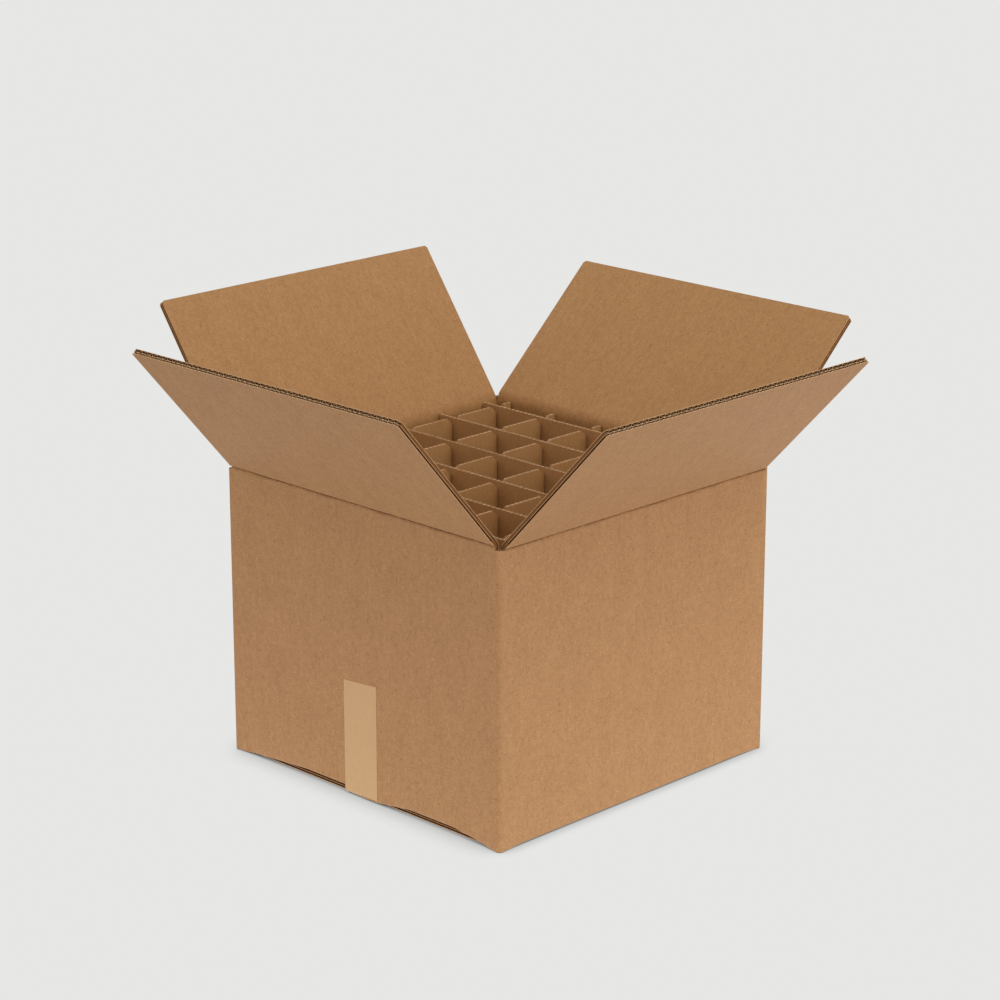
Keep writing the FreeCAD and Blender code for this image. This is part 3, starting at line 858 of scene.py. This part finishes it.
def floor_flap(sheets, side):
    """One bottom flap with its fold, from the wall's lower end to the middle seam."""
    base = FOLD_AT[side.name]
    cols = np.linspace(-FLAP_HALF, FLAP_HALF, WALL_COLUMNS)
    last = len(FOLD_ARC)
    seam = HALF_BOX - SEAM_GAP

    def lower(k, a):
        """The lower face: round the fold, past it and on to the seam. Near the ends it is squarer."""
        drop = sag(a, side.name)
        if k < last:
            square = 1 - SQUARE_SHARE * float(soft_step((abs(a) - SQUARE_FROM) / SQUARE_OVER))
            depth = FOLD_RADIUS * (1 - math.cos(FOLD_ARC[k])) * square
            hang = drop if k else 0.0
            return depth, base - hang + FOLD_RADIUS * (1 - math.sin(FOLD_ARC[k]))
        if k == last:
            return BOARD - LOWER_STEP, base - drop
        return (BOARD + LOWER_STEP, base) if k == last + 1 else (seam, base)

    def upper(k, a):
        """The upper face. Over the fold its points lie a hair apart."""
        if k <= last:
            return BOARD, base + BOARD - HAIR * (last - k)
        return (BOARD + UPPER_STEP, base + BOARD) if k == last + 1 else (seam, base + BOARD)

    def face(profile):
        def at(k, a):
            depth, z = profile(k, a)
            return (side.across * a - side.inward * (HALF_BOX - depth) + UP * z) * MM

        return grid(range(last + 3), cols, at)

    front, back = face(lower), face(upper)
    fold = side.height - base
    run = [-(fold - FOLD_RADIUS) - k * ARC_ON_BLANK for k in range(last)]
    run += [-fold - past for past in PAST_ON_BLANK]
    blank = grid(range(last + 3), cols, lambda k, a: side.blank(a, run[k]))
    if base:
        sheets.slab(front, back, blank, OUTSIDE, INSIDE, MEDIUM)
        return
    for low, high, inset, papers in BOTTOM_LAYERS:
        squeeze = np.where(np.abs(side.across) > 0.5, (FLAP_HALF - inset) / FLAP_HALF, 1.0)
        faces = [(front + (back - front) * share) * squeeze for share in (low, high)]
        sheets.slab(*faces, blank, *papers, EDGE)


for side in SIDE.values():
    floor_flap(walls, side)
walls.build("box_walls", "box", replaces=["box_shell"], smooth=50)

# %% [markdown]
# ## Divider strips
# Twelve strips of thin board cross each other: those along the front wall are slotted from below, those
# along the side walls from above, with slanted corners at each slot's mouth so that they slide in. Their
# upper edges show the wave between two liners as small light dashes: the wave is built, and the edges'
# colour adds painted light and painted shade in dashes at its pitch.

# %% Divider strips
STRIP, STRIP_HALF = 3.0, 193.0
STRIP_LINER, STRIP_WAVE = 0.5, 0.3
CROSSINGS = [-172.5, -103.5, -34.5, 34.5, 103.5, 172.5]
HALF_SLOT, MOUTH = 3.0, 7.0
# The upper edge dips by this much between the waves, and the wave ends this much under it.
DIP, WAVE_UNDER = 0.3, 0.03
FINE_COLUMNS, COARSE_COLUMNS, WAVE_COLUMN = 387, 60, 0.7
CUTS = [-STRIP_HALF] + [c + s for c in CROSSINGS for s in (-HALF_SLOT, HALF_SLOT)] + [STRIP_HALF]
SPANS = list(zip(CUTS[::2], CUTS[1::2]))


def strip(name, along_x, index):
    """One strip: two liners cut to shape, and the wave between them near the upper edge."""
    offset = CROSSINGS[index]
    low, high = (v.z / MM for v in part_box(name))
    middle = (low + high) / 2
    sheets = Sheets()
    phase = np.random.default_rng(200 + index + (50 if along_x else 0)).random()
    on_sheet = 400 * index + (0 if along_x else 3000)

    def wave_turn(a):
        return math.cos(2 * math.pi * (a / (STRIP_PITCH / MM) + phase))

    def level(a):
        return high - DIP * (1 + wave_turn(a))

    def wave_path(a):
        return (STRIP / 2 - STRIP_LINER - STRIP_WAVE) * wave_turn(a)

    def flared(start, end):
        """The upper edge between two slots, slanted down to their mouths."""

        def top(a):
            before = a - start if start > -STRIP_HALF else STRIP_HALF
            after = end - a if end < STRIP_HALF else STRIP_HALF
            return level(a) - max(0.0, MOUTH - min(before, after))

        return top

    def panel(cols, bottom, top, t0, t1, finish, path=lambda a: 0.0, under=0.0):
        """A sheet between a straight lower edge and an upper edge. It may follow a wavy path."""

        def at(t):
            def point(r, a):
                along, out = a, path(a) + t
                spot = (along, offset + out) if along_x else (offset - out, along)
                return np.array([*spot, top(a) - under if r else bottom]) * MM

            return grid((0, 1), cols, point)

        def flat(r, a):
            return ((a + on_sheet) * MM, (top(a) if r else bottom) * MM)

        sheets.slab(at(t0), at(t1), grid((0, 1), cols, flat), finish, None, STRIP_EDGE)

    def wave_panel(start, end, top):
        cols = np.linspace(start, end, max(3, int((end - start) / WAVE_COLUMN)))
        panel(cols, middle + 1, top, -STRIP_WAVE, STRIP_WAVE, MEDIUM, wave_path, WAVE_UNDER)

    full = (-STRIP_HALF, STRIP_HALF)
    for t0, t1 in ((-STRIP / 2, -STRIP / 2 + STRIP_LINER), (STRIP / 2 - STRIP_LINER, STRIP / 2)):
        if along_x:
            panel(np.linspace(*full, FINE_COLUMNS), middle, level, t0, t1, DIVIDER)
            for span in SPANS:
                panel(np.linspace(*span, 3), low, lambda a: middle, t0, t1, DIVIDER)
        else:
            panel(np.linspace(*full, COARSE_COLUMNS), low, lambda a: middle, t0, t1, DIVIDER)
            for start, end in SPANS:
                cols = np.linspace(start, end, int(end - start) + 1)
                panel(cols, middle, flared(start, end), t0, t1, DIVIDER)
    if along_x:
        wave_panel(-STRIP_HALF + 0.5, STRIP_HALF - 0.5, level)
    else:
        for start, end in SPANS:
            wave_panel(start + 0.4, end - 0.4, flared(start, end))
    sheets.build(name + "_board", "box", replaces=[name])


for index in range(len(CROSSINGS)):
    strip("row_divider_%d" % (index + 1), True, index)
    strip("column_divider_%d" % (index + 1), False, index)

# %% [markdown]
# ## Paper tape
# One strip of gummed paper tape runs along the seam under the box and up the front and the back wall.
# Its ends are torn off a roll by hand, so they are not quite square. It lies proud of the board by its
# own thickness.

# %% Paper tape
TAPE_HALF = 24.0
TAPE_THICK = 0.3
TAPE_BEND = 6.5
# The height of each end in its middle, and how much it slants over half the tape's width.
FRONT_END, FRONT_SLANT = 126.6, 1.8
BACK_END, BACK_SLANT = 124.0, -1.5
KNEE = TAPE_BEND + 1


def tape_path(x):
    """Places along the tape from front top to back top: (y, z, outward y, outward z)."""
    top = FRONT_END + FRONT_SLANT * x / TAPE_HALF
    top_back = BACK_END + BACK_SLANT * x / TAPE_HALF
    out = HALF_BOX + TAPE_THICK
    half = [(-out, z, -1, 0) for z in np.linspace(top, KNEE, 7)]
    for d in np.linspace(0, 90, 9):
        c, n = math.cos(math.radians(d)), math.sin(math.radians(d))
        half.append((-out + TAPE_BEND * (1 - c), TAPE_BEND * (1 - n), -c, -n))
    half += [(-120, 0, 0, -1), (-40, 0, 0, -1)]

    def behind(z):
        return z if z < KNEE else KNEE + (z - KNEE) * (top_back - KNEE) / (top - KNEE)

    return half + [(-y, behind(z), -oy, oz) for y, z, oy, oz in half][::-1]


cols = np.linspace(-TAPE_HALF, TAPE_HALF, 13)
paths = {x: tape_path(x) for x in cols}
count = len(paths[0.0])


def tape_face(depth):
    """One face of the tape, so deep under its outer face."""

    def at(k, x):
        y, z, out_y, out_z = paths[x][k]
        return np.array([x, y - out_y * depth, z - out_z * depth]) * MM

    return grid(range(count), cols, at)


travel = [0.0]
for k in range(1, count):
    (y0, z0), (y1, z1) = paths[0.0][k - 1][:2], paths[0.0][k][:2]
    travel.append(travel[-1] + math.hypot(y1 - y0, z1 - z0))
sheets = Sheets()
blank = grid(range(count), cols, lambda k, x: (x * MM, travel[k] * MM))
sheets.slab(tape_face(0.0), tape_face(TAPE_THICK), blank, TAPE)
sheets.build("paper_tape", "box", replaces=["bottom_tape"])
